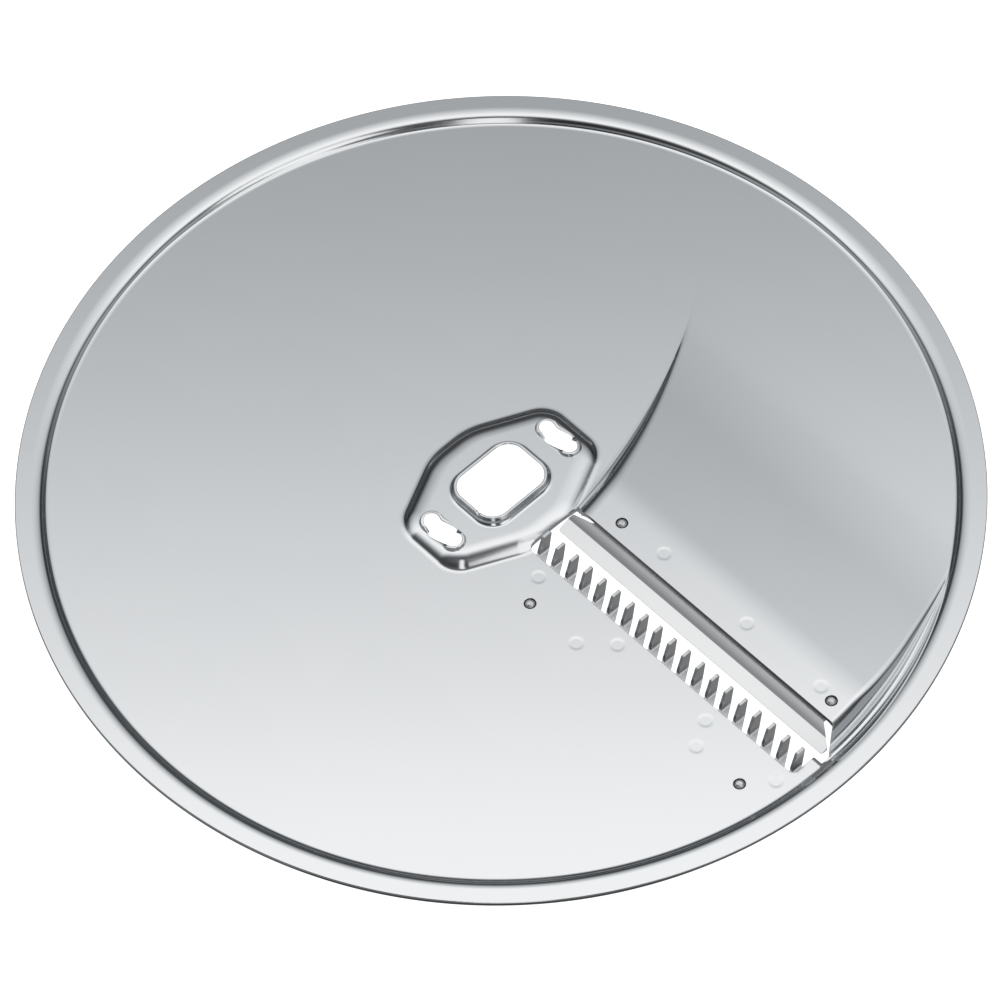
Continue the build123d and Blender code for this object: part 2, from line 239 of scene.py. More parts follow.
def wall_feet(y):
    """Feet of the raised sector's two walls, on the hub side and on the rim side."""
    inner = INNER_CENTER[0] + np.sqrt(INNER_RADIUS ** 2 - (y - INNER_CENTER[1]) ** 2)
    along_flare = np.clip((y - RAMP_END) / FLARE_LENGTH + 1, 0, 1)
    reach = OUTER_RADIUS + FLARE * along_flare ** 2
    return inner, np.sqrt(np.maximum(reach ** 2 - y ** 2, 0))


def wall_widths(y):
    """Widths of the raised sector's two walls."""
    share = np.maximum(ramp_height(y), 0) / LANDING_HEIGHT
    inner = INNER_WIDTH[0] + (INNER_WIDTH[1] - INNER_WIDTH[0]) * share
    outer = OUTER_WIDTH[0] + (OUTER_WIDTH[1] - OUTER_WIDTH[0]) * share
    return inner, outer


def soft_step(across):
    """Soft rise from the foot of a wall to its crown, and a gentle fall outside its foot."""
    inside = np.clip(across, 0, 1)
    t = inside ** 0.6
    for _ in range(12):
        place = 3 * (1 - t) ** 2 * t * WALL_SHARES[0] + 3 * (1 - t) * t ** 2 * WALL_SHARES[1] + t ** 3
        rate = (3 * (1 - t) ** 2 * WALL_SHARES[0] + 6 * (1 - t) * t * (WALL_SHARES[1] - WALL_SHARES[0])
                + 3 * t ** 2 * (1 - WALL_SHARES[1]))
        t = np.clip(t - (place - inside) / np.maximum(rate, 0.05), 0, 1)
    return (3 - 2 * t) * t ** 2 + OUTSIDE_FALL * np.minimum(across, 0)


def sector_profile(x, y, depth):
    """Height of the landing, the ramp and their walls above the main sheet."""
    crown = ramp_height(y)
    root = np.minimum(crown, 0) - WALL_SINK
    inner_foot, outer_foot = wall_feet(y)
    inner_width, outer_width = wall_widths(y)
    from_hub = (x - inner_foot - depth * WALL_OFFSET) / inner_width
    from_rim = (outer_foot - depth * WALL_OFFSET - x) / outer_width
    raised = root + (crown - root) * soft_step(np.minimum(from_hub, from_rim))
    return np.where(y > BLADE_EDGE, raised, NO_SECTOR)


def crease_size(y):
    """Reach of the soft crease at the feet of the sector's walls, widest under the landing."""
    share = np.clip(ramp_height(y) / LANDING_HEIGHT, 0, 1)
    return CREASE + (WIDE_CREASE - CREASE) * share


def weld_dip(x, y):
    """Depth of the shallow spot-weld marks."""
    dip = np.zeros_like(x)
    for place in WELDS:
        edge = (np.hypot(x - place[0], y - place[1]) - WELD_RADIUS) / WELD_SOFTNESS
        inside = np.clip(0.5 - edge / 2, 0, 1)
        dip += WELD_DEPTH * inside ** 2 * (3 - 2 * inside)
    return dip


def sheet_height(x, y, depth):
    """Height of the surface that lies a depth below the sheet's top face."""
    pressed = rim_profile(np.hypot(x, y), depth) + boss_profile(boss_distance(x, y), depth)
    raised = sector_profile(x, y, depth)
    crease = crease_size(y)
    blend = np.maximum(crease - np.abs(pressed - raised), 0) ** 2 / (4 * crease)
    top = MAIN_TOP + np.maximum(pressed, raised) + blend - depth
    return top if depth else top - weld_dip(x, y)


def rounded_rectangle(growth, step):
    """Outline of the drive hole, grown all round."""
    half_x = DRIVE_HOLE[0] / 2
    half_y = DRIVE_HOLE[1] / 2
    corners = [(half_x, -half_y), (half_x, half_y), (-half_x, half_y), (-half_x, -half_y)]
    return rounded_loop(corners, [DRIVE_HOLE[2]] * 4, growth, step)


def slot_loops(side):
    """Inner and outer outline of one drive slot, with the lift of its lip at each point."""
    end = arc((SLOT_HALF, 0), SLOT_RADIUS, -math.pi / 2, math.pi / 2, 25)
    step_x = WAIST[0] + WAIST_CORNER
    half = np.concatenate((
        [(step_x, -SLOT_RADIUS)], end, [(step_x, SLOT_RADIUS)],
        [(WAIST[0] - WAIST_CORNER, WAIST[1])], [(WAIST[0] / 3, WAIST[1])],
    ))
    inner = np.concatenate((half, -half))
    over_end = inner[:, 0] - np.clip(inner[:, 0], -SLOT_HALF, SLOT_HALF)
    reach = np.hypot(over_end, inner[:, 1])
    scale = (SLOT_RADIUS + LIP_REACH) / reach
    scale = np.where(np.abs(inner[:, 0]) < step_x, (WAIST[1] + WAIST_REACH) / reach, scale)
    outer = np.column_stack((inner[:, 0] + over_end * (scale - 1), inner[:, 1] * scale))
    lift = LIP_HEIGHT * np.clip((np.abs(inner[:, 0]) - step_x) / LIP_RISE, 0, 1)
    shift = (0, side * SLOT_PLACE)
    return inner + shift, outer + shift, lift


def edge_profile(radius, steps):
    """Rounded edge as pairs of outward reach and drop."""
    angles = np.linspace(0, math.pi / 2, steps + 1)[1:]
    return [(radius * math.sin(angle), radius * (1 - math.cos(angle))) for angle in angles]


def outward(loop):
    """Directions away from the sheet along a loop that keeps the sheet on its left."""
    ahead = np.roll(loop, -1, axis=0) - np.roll(loop, 1, axis=0)
    return np.column_stack((ahead[:, 1], -ahead[:, 0])) / np.hypot(*ahead.T)[:, None]


def sheared_rings(loop, radius):
    """Rings down a sheared edge with a small rounding, starting next to the top face."""
    out = outward(loop)
    top = sheet_height(*loop.T, 0)
    bottom = sheet_height(*loop.T, SHEET)
    profile = edge_profile(radius, 3)
    upper = [(reach, top - drop) for reach, drop in profile]
    lower = [(reach, bottom + drop) for reach, drop in reversed(profile)]
    return [np.column_stack((loop + reach * out, level)) for reach, level in upper + lower]


def collar_rings(loop):
    """Rings over the turned-up collar of the drive hole, down to the underside."""
    out = outward(loop)
    top = MAIN_TOP + BOSS_HEIGHT
    wall = COLLAR_ROOT + COLLAR_WALL
    angles = np.radians([10, 20, 30, 40, 50, 60, 70, 80, 90])
    profile = [(COLLAR_ROOT * math.sin(a), COLLAR_ROOT * (1 - math.cos(a))) for a in angles]
    head = COLLAR_HEIGHT - COLLAR_TOP
    near = COLLAR_ROOT + COLLAR_TOP
    far = wall - COLLAR_TOP
    profile += [(near - COLLAR_TOP * math.cos(a), head + COLLAR_TOP * math.sin(a))
                for a in np.radians([0, 25, 50, 70, 90])]
    profile += [(far + COLLAR_TOP * math.sin(a), head + COLLAR_TOP * math.cos(a))
                for a in np.radians([0, 20, 40, 65, 90])]
    under = 0.3
    profile += [(wall - under * (1 - math.cos(a)), under - SHEET - under * math.sin(a))
                for a in np.radians([0, 30, 60, 90])]
    at_nick = (np.abs(loop[:, 0] - NICK_X) < NICK_HALF) & (loop[:, 1] < 0)
    ceiling = np.where(at_nick, COLLAR_HEIGHT / 2, COLLAR_HEIGHT)
    return [np.column_stack((loop + reach * out, top + np.minimum(level, ceiling)))
            for reach, level in profile]


def slot_rings(inner, outer, lift):
    """Rings over the turned-up lips of a drive slot, down to the underside."""
    top = sheet_height(*outer.T, 0)
    bottom = sheet_height(*outer.T, SHEET)
    edge = 0.12
    edge_start = 0.035
    rise = [(0.12, 0.06), (0.22, 0.25), (0.28, 0.6), (0.33, 0.85), (0.45, 1.0), (0.83, 1.0)]
    rings = [(share, top + level * lift) for share, level in rise]
    rings += [(0.95, top + lift - edge_start), (1.0, top + lift - edge), (1.0, bottom + edge)]
    rings += [(0.95, bottom + edge_start), (0.83, bottom)]
    return [np.column_stack((outer + share * (inner - outer), level)) for share, level in rings]


def inside_loop(points, loop):
    """Which points lie inside a closed loop."""
    x, y = points.T
    odd = np.zeros(len(points), bool)
    for (ax, ay), (bx, by) in zip(loop, np.roll(loop, -1, axis=0)):
        if ay != by:
            crosses = (ay > y) != (by > y)
            odd ^= crosses & (x < ax + (bx - ax) * (y - ay) / (by - ay))
    return odd


def keep_off(points, holes):
    """Which points keep outside the holes and a little way off their edges."""
    room = 0.15
    keep = np.hypot(*points.T) < DISC_RADIUS - 2 * RIM_EDGE
    for hole in holes:
        keep &= ~inside_loop(points, hole)
        for start, stop in zip(hole, np.roll(hole, -1, axis=0)):
            along = stop - start
            share = np.clip((points - start) @ along / (along @ along), 0, 1)
            keep &= np.hypot(*(points - start - share[:, None] * along).T) > room
    return keep


def above_rim(points):
    """Height of the raised sector over the rim and the main sheet."""
    return sector_profile(*points.T, 0) - rim_profile(np.hypot(*points.T), 0)


def in_tip(points):
    """Which points lie where the flared end of the sector's outer wall runs up the rim."""
    x, y = points.T
    return (y > FLARE_START) & (np.arctan2(y, x) < TIP_TURN) & (np.hypot(x, y) > GROOVE_START)


def ring_points(radii, turns):
    """Points on rings round the axis."""
    return np.concatenate([
        np.column_stack((radius * np.cos(turns), radius * np.sin(turns))) for radius in radii
    ])


def rim_radii():
    """Radii of the rings round the rim, close together where it curves."""
    return np.concatenate((
        [66.4, 67.4, 68.2, 68.7],
        np.linspace(RIM_ROOT_END, RIM_ROOT_END + 0.8, 8),
        np.linspace(RIM_ROOT_END + 0.95, RIM_CROWN_START, 13)[:-1],
        [RIM_CROWN_START, RIM_CROWN_START + 0.4, RIM_CROWN_START + 1.1, RIM_CROWN_START + 1.7],
    ))


def rim_points():
    """Rings of points round the rim, apart from the stretch beside the raised sector."""
    rings = ring_points(rim_radii(), np.linspace(0, 2 * math.pi, RIM_STEPS, endpoint=False))
    x, y = rings.T
    radius = np.hypot(x, y)
    turn = np.arctan2(y, x)
    beside = (turn > 0) & (turn < TIP_TURN) & (radius > GROOVE_START) & (radius < GROOVE_END)
    return rings[~beside & (above_rim(rings) < -CREASE)]


def groove_points():
    """Closer rings of points on the rim beside the raised sector."""
    radii = rim_radii()
    radii = np.sort(np.concatenate((radii, (radii[:-1] + radii[1:]) / 2)))
    radii = radii[(radii > GROOVE_START) & (radii < GROOVE_END)]
    rings = ring_points(radii, np.arange(0.002, TIP_TURN, 0.0035))
    free = above_rim(rings) < np.where(in_tip(rings), -WALL_SINK, -GROOVE)
    return rings[free | (rings[:, 1] > TIP_START)]


def boss_points():
    """Loops of points round the hub's wall."""
    step = 0.7
    on_wall = np.linspace(-2.8, 1.7, 25)
    growths = np.concatenate(([-3.4], on_wall, [2.4]))
    return np.concatenate([rounded_loop(BOSS_CORNERS, BOSS_RADII, growth, step) for growth in growths])


def sector_lines():
    """Lines of points along the raised sector, close together on its walls and in the groove."""
    on_wall = [0, 0.01, 0.02, 0.035, 0.05, 0.07, 0.095, 0.125, 0.16, 0.2, 0.25, 0.31, 0.38, 0.46, 0.55,
               0.65, 0.76, 0.88, 1.0, 1.15]
    outside = -np.array([0.55, 0.48, 0.41, 0.35, 0.3, 0.25, 0.21, 0.17, 0.14, 0.11, 0.08, 0.06, 0.04, 0.02])
    shares = np.concatenate((outside, on_wall))
    y = np.arange(0.6, RAMP_END + 9, 0.5)
    inner_foot, outer_foot = wall_feet(y)
    inner_width, outer_width = wall_widths(y)
    across = [inner_foot + share * inner_width for share in shares]
    across += [outer_foot - share * outer_width for share in shares]
    start = across[len(shares) - 1]
    stop = across[-1]
    across += [start + share * (stop - start) for share in np.linspace(0, 1, 18)[1:-1]]
    return [np.column_stack((x, y)) for x in across]


def weld_points():
    """Rings of points on the spot-weld marks."""
    rings = [arc(place, radius, 0, 2 * math.pi, 25)[:-1]
             for place in WELDS for radius in (0.35, 0.7, 0.85, 1.0, 1.15, 1.3, 1.5)]
    return np.concatenate(rings)


def field_points():
    """Even spread of points over the plain sheet."""
    step = 3.0
    reach = 65.5
    hub_room = 3.8
    sector_room = 0.3
    steps = np.arange(-DISC_RADIUS, DISC_RADIUS, step)
    grid = np.array([(x + (row % 2) * step / 2, y) for row, y in enumerate(steps) for x in steps])
    away = np.abs(boss_distance(*grid.T)) > hub_room
    in_sector = (sector_profile(*grid.T, 0) > -sector_room) & (grid[:, 1] > 0)
    return grid[(np.hypot(*grid.T) < reach) & away & ~in_sector]


def opening_loop():
    """Outline of the opening, with short steps where it crosses the sector's walls."""
    inner_wall_end = 17
    outer_wall_start = 62
    coarse = rounded_loop(OPENING, OPENING_RADII, SHEAR_EDGE, 0.8)
    x, y = coarse.T
    on_wall = (y > BLADE_EDGE) & ((x < inner_wall_end) | (x > outer_wall_start))
    fine = []
    for point, following, steep in zip(coarse, np.roll(coarse, -1, axis=0), on_wall):
        count = 6 if steep else 1
        fine.extend(point + share * (following - point) for share in np.arange(count) / count)
    return np.array(fine)


def sheet_normals(x, y, depth):
    """Upward normals of the sheet's surface."""
    reach = 0.01
    slope_x = (sheet_height(x + reach, y, depth) - sheet_height(x - reach, y, depth)) / (2 * reach)
    slope_y = (sheet_height(x, y + reach, depth) - sheet_height(x, y - reach, depth)) / (2 * reach)
    normals = np.column_stack((-slope_x, -slope_y, np.ones_like(slope_x)))
    return normals / np.linalg.norm(normals, axis=1)[:, None]


def sheet_edges():
    """Loops along the sheet's edges, the rim first, with the rings that lead to the underside."""
    turns = np.linspace(0, 2 * math.pi, RIM_STEPS, endpoint=False)
    rim = (DISC_RADIUS - RIM_EDGE) * np.column_stack((np.cos(turns), np.sin(turns)))
    collar = rounded_rectangle(COLLAR_ROOT + COLLAR_WALL, 0.35)[::-1]
    slots = [slot_loops(side) for side in (1, -1)]
    slots = [[part[::-1] for part in slot] for slot in slots]
    opening = opening_loop()[::-1]
    pip_loops = [arc(place, PIP_HOLE + SHEAR_EDGE, 2 * math.pi, 0, 33)[:-1] for place in PIPS]
    edges = [(rim, sheared_rings(rim, RIM_EDGE)), (collar, collar_rings(collar))]
    edges += [(outer, slot_rings(inner, outer, lift)) for inner, outer, lift in slots]
    edges += [(loop, sheared_rings(loop, SHEAR_EDGE)) for loop in [opening] + pip_loops]
    return edges


def sheet_plan(loops):
    """Plan of the sheet's top face: its points, its triangles and the place of each point of the loops."""
    holes = loops[1:]
    free = np.concatenate((rim_points(), boss_points(), groove_points(), weld_points(), field_points()))
    free = free[keep_off(free, holes)]
    sides = []
    first = 0
    for loop in loops:
        count = len(loop)
        sides.extend((first + i, first + (i + 1) % count) for i in range(count))
        first += count
    flat = loops + [free]
    first += len(free)
    for line in sector_lines():
        lowest = np.where(in_tip(line), TIP_LOWEST, -GROOVE)
        used = keep_off(line, holes) & (above_rim(line) > lowest)
        places = first + np.cumsum(used) - 1
        sides.extend((places[i], places[i + 1]) for i in np.flatnonzero(used[:-1] & used[1:]))
        flat.append(line[used])
        first += used.sum()
    made = delaunay_2d_cdt([Vector(point) for point in np.concatenate(flat)], sides, [], 0, 1e-6, True)
    plan = np.array([tuple(point) for point in made[0]])
    faces = np.array(made[2])
    for hole in holes:
        faces = faces[~inside_loop(plan[faces].mean(axis=1), hole)]
    place_of = {start: i for i, starts in enumerate(made[3]) for start in starts}
    return plan, faces, place_of


def mean_normals(points, polygons):
    """Normals at the points, from the triangles that meet there."""
    corners = points[polygons]
    areas = np.cross(corners[:, 1] - corners[:, 0], corners[:, 2] - corners[:, 0])
    mean = np.zeros_like(points)
    for i in range(3):
        np.add.at(mean, polygons[:, i], areas)
    return mean / np.maximum(np.linalg.norm(mean, axis=1), 1e-12)[:, None]


def drawn_sheet():
    """Points, faces and normals of the pressed sheet, in millimetres."""
    edges = sheet_edges()
    plan, faces, place_of = sheet_plan([loop for loop, rings in edges])
    x, y = plan.T
    points = [np.column_stack((plan, sheet_height(x, y, depth))) for depth in (0, SHEET)]
    polygons = faces.tolist() + (faces[:, ::-1] + len(plan)).tolist()
    total = 2 * len(plan)
    first = 0
    for loop, rings in edges:
        count = len(loop)
        upper = [place_of[first + i] for i in range(count)]
        lower = [place + len(plan) for place in upper]
        first += count
        levels = [upper]
        for ring in rings:
            levels.append(list(range(total, total + count)))
            points.append(ring)
            total += count
        levels.append(lower)
        for above, below in zip(levels, levels[1:]):
            for i in range(count):
                j = (i + 1) % count
                polygons.append([above[i], below[i], below[j]])
                polygons.append([above[i], below[j], above[j]])
    points = np.concatenate(points)
    normals = mean_normals(points, np.array(polygons))
    on_faces = np.concatenate((sheet_normals(x, y, 0), -sheet_normals(x, y, SHEET)))
    normals[:len(on_faces)] = on_faces
    return points, polygons, normals


def add_sheet(material):
    """Pressed sheet in place of the CAD disc, with smooth faces."""
    points, polygons, normals = drawn_sheet()
    mesh = bpy.data.meshes.new("pressed_disc")
    mesh.from_pydata((points * MM).tolist(), [], polygons)
    mesh.polygons.foreach_set("use_smooth", np.ones(len(polygons), bool))
    mesh.update()
    mesh.normals_split_custom_set_from_vertices(normals.tolist())
    mesh.materials.append(material)
    piece = bpy.data.objects.new("pressed_disc", mesh)
    bpy.context.scene.collection.objects.link(piece)
    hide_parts("disc_plate")
    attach(piece, "root")


# The camera of the photograph, in metres and degrees
EYE = Vector((0.4574, -0.4183, 0.9234))
TARGET = Vector((0.001294, -0.001426, 0.0013))
ROLL = -1.744
LENS = 262.53
SENSOR = 36.0


def add_camera():
    """Long-lens camera at the photograph's viewing angle."""
    data = bpy.data.cameras.new("camera")
    data.lens = LENS
    data.sensor_width = SENSOR
    camera = bpy.data.objects.new("camera", data)
    bpy.context.scene.collection.objects.link(camera)
    forward = (TARGET - EYE).normalized()
    level = forward.cross(Vector((0, 0, 1))).normalized()
    upright = level.cross(forward)
    roll = math.radians(ROLL)
    right = math.cos(roll) * level + math.sin(roll) * upright
    up = math.cos(roll) * upright - math.sin(roll) * level
    turn = Matrix((right, up, -forward)).transposed()
    camera.matrix_world = Matrix.Translation(EYE) @ turn.to_4x4()
    bpy.context.scene.camera = camera


# Soft box over the disc, with its brightness by metres away from the camera and by metres across
SOFT_BOX_HEIGHT = 0.15
SOFT_BOX_FADE = [(-0.05, 0.05), (-0.035, 0.15), (-0.02, 0.45), (-0.008, 0.85), (0.005, 1.13), (0.03, 1.09),
                 (0.045, 1.02), (0.06, 0.93), (0.09, 0.79), (0.12, 0.655), (0.15, 0.545), (0.18, 0.47),
                 (0.22, 0.38), (0.27, 0.22), (0.35, 0.10), (0.45, 0.06)]
SOFT_BOX_SIDES = [(0.0, 1.0), (0.13, 1.0), (0.2, 0.75), (0.3, 0.2), (0.45, 0.06)]
# Bright cards on the camera's side of the soft box
NEAR_CARDS = [
    [(-0.065, -0.012), (-0.30, -0.035), (-0.30, 0.035), (-0.065, 0.012)],
    [(-0.006, -0.035), (-0.006, -0.068), (-0.110, -0.250), (-0.250, -0.200), (-0.125, -0.058)],
]
CARD_STRENGTH = 1.1
# Brightness of the surround by height, from straight down to straight up
ROOM_LEVELS = [(0.0, 0.08), (0.5, 0.06), (0.88, 0.06), (1.0, 0.15)]
# Dimming behind the camera, and the lighter low band on its side, with the directions where each fades
NEAR_DIMMING = 0.25
DIMMING_FADE = (-0.8, -0.4)
LOW_BAND = 5.0
LOW_BAND_TOP = (0.36, 0.52)
LOW_BAND_SIDE = (0.1, 0.5)
# Half sizes, level and strength of the bright patches under the disc
UNDERLAY = [(0.006, 0.015, -0.0002, 1.3), (0.07, 0.07, -0.0004, 0.25)]


def fill_ramp(ramp, stops):
    """Set a colour ramp's levels, with a cool tint in the darker ones."""
    elements = ramp.color_ramp.elements
    while len(elements) < len(stops):
        elements.new(0.5)
    for element, (place, level) in zip(elements, stops):
        cool = 0.045 * max(0, 1 - level)
        element.position = place
        element.color = (level * (1 - cool), level, level * (1 + cool), 1)


def add_world():
    """Dark studio surround with a lighter low band on the camera's side, and a pale backdrop."""
    world = bpy.data.worlds.new("studio")
    bpy.context.scene.world = world
    world.use_nodes = True
    nodes = world.node_tree.nodes
    links = world.node_tree.links
    nodes.clear()
    out = nodes.new("ShaderNodeOutputWorld")
    room = nodes.new("ShaderNodeBackground")
    backdrop = nodes.new("ShaderNodeBackground")
    backdrop.inputs["Color"].default_value = (1, 1, 1, 1)
    mix = nodes.new("ShaderNodeMixShader")
    path = nodes.new("ShaderNodeLightPath")
    coords = nodes.new("ShaderNodeTexCoord")
    parts = nodes.new("ShaderNodeSeparateXYZ")
    ramp = nodes.new("ShaderNodeValToRGB")
    fill_ramp(ramp, ROOM_LEVELS)
    links.new(coords.outputs["Generated"], parts.inputs[0])
    height = parts.outputs["Z"]
    links.new(map_range(world, height, -1.0, 1.0, 0.0, 1.0), ramp.inputs[0])
    away = nodes.new("ShaderNodeVectorMath")
    away.operation = "DOT_PRODUCT"
    away.inputs[1].default_value = Vector((-EYE.x, -EYE.y, 0)).normalized()
    links.new(coords.outputs["Generated"], away.inputs[0])
    toward_far = away.outputs["Value"]
    dimming = map_range(world, toward_far, *DIMMING_FADE, NEAR_DIMMING, 1.0)
    low_band = map_range(world, height, *LOW_BAND_TOP, LOW_BAND, 0.0)
    near_side = map_range(world, toward_far, *LOW_BAND_SIDE, 1.0, 0.0)
    strength = add_math(world, "ADD", dimming, add_math(world, "MULTIPLY", low_band, near_side))
    links.new(ramp.outputs[0], room.inputs["Color"])
    links.new(strength, room.inputs["Strength"])
    links.new(path.outputs["Is Camera Ray"], mix.inputs[0])
    links.new(room.outputs[0], mix.inputs[1])
    links.new(backdrop.outputs[0], mix.inputs[2])
    links.new(mix.outputs[0], out.inputs["Surface"])


def stage_card(name, points, material):
    """Flat piece of the studio that is not part of the object."""
    mesh = bpy.data.meshes.new(name)
    mesh.from_pydata(points, [], [list(range(len(points)))])
    mesh.materials.append(material)
    card = bpy.data.objects.new(name, mesh)
    bpy.context.scene.collection.objects.link(card)
    return card


def add_floor():
    """Plain pale floor under the disc."""
    material = bpy.data.materials.new("floor")
    material.use_nodes = True
    shader = material.node_tree.nodes["Principled BSDF"]
    shader.inputs["Base Color"].default_value = (0.9, 0.9, 0.9, 1)
    shader.inputs["Roughness"].default_value = 0.8
    shader.inputs["Emission Color"].default_value = (1, 1, 1, 1)
    shader.inputs["Emission Strength"].default_value = 1.0
    reach = 6.0
    corners = [(-reach, -reach, 0), (reach, -reach, 0), (reach, reach, 0), (-reach, reach, 0)]
    floor = stage_card("floor", corners, material)
    floor.visible_glossy = False


def add_underlay():
    """Patches of floor under the hub and the whole disc, seen only in the steel round the holes."""
    for half_x, half_y, level, strength in UNDERLAY:
        material, glow = glowing("underlay")
        glow.inputs["Strength"].default_value = strength
        corners = [(-half_x, -half_y), (half_x, -half_y), (half_x, half_y), (-half_x, half_y)]
        patch = stage_card("underlay", [(x, y, level) for x, y in corners], material)
        patch.visible_camera = False
        patch.visible_diffuse = False


def over_disc(name, corners, material):
    """Card level with the soft box, with corners given away from the camera and across."""
    card = stage_card(name, [(away, across, 0) for away, across in corners], material)
    card.location.z = SOFT_BOX_HEIGHT
    card.rotation_euler.z = math.atan2(-EYE.y, -EYE.x)
    card.visible_camera = False


def glowing(name):
    """Material that only gives light, and its light."""
    material = bpy.data.materials.new(name)
    material.use_nodes = True
    nodes = material.node_tree.nodes
    nodes.clear()
    out = nodes.new("ShaderNodeOutputMaterial")
    glow = nodes.new("ShaderNodeEmission")
    material.node_tree.links.new(glow.outputs[0], out.inputs["Surface"])
    return material, glow


def add_soft_box():
    """Broad soft box close over the far half of the disc, and bright cards on the near side."""
    material, glow = glowing("soft_box")
    nodes = material.node_tree.nodes
    links = material.node_tree.links
    coords = nodes.new("ShaderNodeTexCoord")
    parts = nodes.new("ShaderNodeSeparateXYZ")
    links.new(coords.outputs["Object"], parts.inputs[0])
    across = add_math(material, "ABSOLUTE", parts.outputs["Y"])
    fades = []
    for place, stops in ((parts.outputs["X"], SOFT_BOX_FADE), (across, SOFT_BOX_SIDES)):
        start = stops[0][0]
        span = stops[-1][0] - start
        ramp = nodes.new("ShaderNodeValToRGB")
        fill_ramp(ramp, [((reach - start) / span, level) for reach, level in stops])
        links.new(map_range(material, place, start, start + span, 0.0, 1.0), ramp.inputs[0])
        fades.append(ramp.outputs[0])
    links.new(mix_colors(material, "MULTIPLY", 1.0, *fades), glow.inputs["Color"])
    near = SOFT_BOX_FADE[0][0]
    far = SOFT_BOX_FADE[-1][0]
    side = SOFT_BOX_SIDES[-1][0]
    over_disc("soft_box", [(near, -side), (far, -side), (far, side), (near, side)], material)
    card_light, card_glow = glowing("near_card")
    card_glow.inputs["Strength"].default_value = CARD_STRENGTH
    for corners in NEAR_CARDS:
        over_disc("near_card", corners, card_light)


def add_math(owner, operation, first, second=None):
    """Arithmetic node on one or two values, in a material or the surround."""
    node = owner.node_tree.nodes.new("ShaderNodeMath")
    node.operation = operation
    owner.node_tree.links.new(first, node.inputs[0])
    if isinstance(second, (int, float)):
        node.inputs[1].default_value = second
    elif second is not None:
        owner.node_tree.links.new(second, node.inputs[1])
    return node.outputs[0]


def map_range(owner, value, low, high, low_result, high_result):
    """Value moved from one range to another, and held at its ends."""
    node = owner.node_tree.nodes.new("ShaderNodeMapRange")
    owner.node_tree.links.new(value, node.inputs["Value"])
    names = ("From Min", "From Max", "To Min", "To Max")
    for name, level in zip(names, (low, high, low_result, high_result)):
        node.inputs[name].default_value = level
    return node.outputs["Result"]


def mix_colors(material, blend, share, first, second):
    """Blend of two colours, by a fixed share or by a mask."""
    node = material.node_tree.nodes.new("ShaderNodeMix")
    node.data_type = "RGBA"
    node.blend_type = blend
    links = material.node_tree.links
    if isinstance(share, float):
        node.inputs["Factor"].default_value = share
    else:
        links.new(share, node.inputs["Factor"])
    for place, color in ((6, first), (7, second)):
        if isinstance(color, tuple):
            node.inputs[place].default_value = (*color, 1)
        else:
            links.new(color, node.inputs[place])
    return node.outputs[2]


def streaks(material, scale, detail):
    """Noise stretched along one axis, in metres of the object."""
    nodes = material.node_tree.nodes
    coords = nodes.new("ShaderNodeTexCoord")
    mapping = nodes.new("ShaderNodeMapping")
    mapping.inputs["Scale"].default_value = scale
    noise = nodes.new("ShaderNodeTexNoise")
    noise.inputs["Scale"].default_value = 1.0
    noise.inputs["Detail"].default_value = detail
    material.node_tree.links.new(coords.outputs["Object"], mapping.inputs["Vector"])
    material.node_tree.links.new(mapping.outputs["Vector"], noise.inputs["Vector"])
    return noise.outputs["Fac"]


def object_place(material, axis):
    """Place along one axis of the object, in metres."""
    nodes = material.node_tree.nodes
    coords = nodes.new("ShaderNodeTexCoord")
    parts = nodes.new("ShaderNodeSeparateXYZ")
    material.node_tree.links.new(coords.outputs["Object"], parts.inputs[0])
    return parts.outputs[axis]


def upright_mask(material):
    """One on upright faces such as sheared edges, and nought on the rest."""
    nodes = material.node_tree.nodes
    geometry = nodes.new("ShaderNodeNewGeometry")
    parts = nodes.new("ShaderNodeSeparateXYZ")
    material.node_tree.links.new(geometry.outputs["True Normal"], parts.inputs[0])
    level = add_math(material, "ABSOLUTE", parts.outputs["Z"])
    return map_range(material, level, 0.1, 0.35, 1.0, 0.0)


def add_bump(material, height, distance, under=None):
    """Fine relief on the material's surface, over another relief if one is given."""
    shader = material.node_tree.nodes["Principled BSDF"]
    links = material.node_tree.links
    bump = material.node_tree.nodes.new("ShaderNodeBump")
    bump.inputs["Strength"].default_value = 1.0
    bump.inputs["Distance"].default_value = distance
    links.new(height, bump.inputs["Height"])
    if under is not None:
        links.new(under, bump.inputs["Normal"])
    links.new(bump.outputs["Normal"], shader.inputs["Normal"])
    return bump.outputs["Normal"]


# Colours of the steels, with painted shade on the sheared edges and a painted reflection in the blade's
# ground strip
SHEET_TONES = [(0.765, 0.785, 0.80), (0.80, 0.81, 0.82)]
# Painted shade: dark colour given to the upright sheared faces outside the hub
SHEARED_EDGE_SHADE = (0.16, 0.165, 0.17)
# Grey of the ground strip, partly its finish and partly a painted reflection: dark near the bevel, light
# towards the landing
GROUND_AND_REFLECTION_TONES = [(0.30, 0.305, 0.32), (0.68, 0.685, 0.69)]
SCRATCH_TONES = [(0.85, 0.85, 0.85), (1.1, 1.1, 1.1)]
BEVEL_TONE = (0.75, 0.755, 0.76)
COMB_TONES = [(0.66, 0.67, 0.68), (0.78, 0.79, 0.80)]
# Places where the looks change, in metres, among them where the painted shade on sheared edges starts and
# the span of the painted reflection on the blade, and the slope that the bevel's shading is eased by
HUB_EDGE = (0.0156, 0.0160)
BEVEL_WIDTH = 0.0024
BEVEL_END = (0.00236, 0.00244)
PAINTED_REFLECTION_FADE = (0.0028, 0.0046)
BEVEL_EASE = 0.27


def new_steel(name):
    """Metal material and its shader."""
    material = bpy.data.materials.new(name)
    material.use_nodes = True
    shader = material.node_tree.nodes["Principled BSDF"]
    shader.inputs["Metallic"].default_value = 1.0
    return material, shader


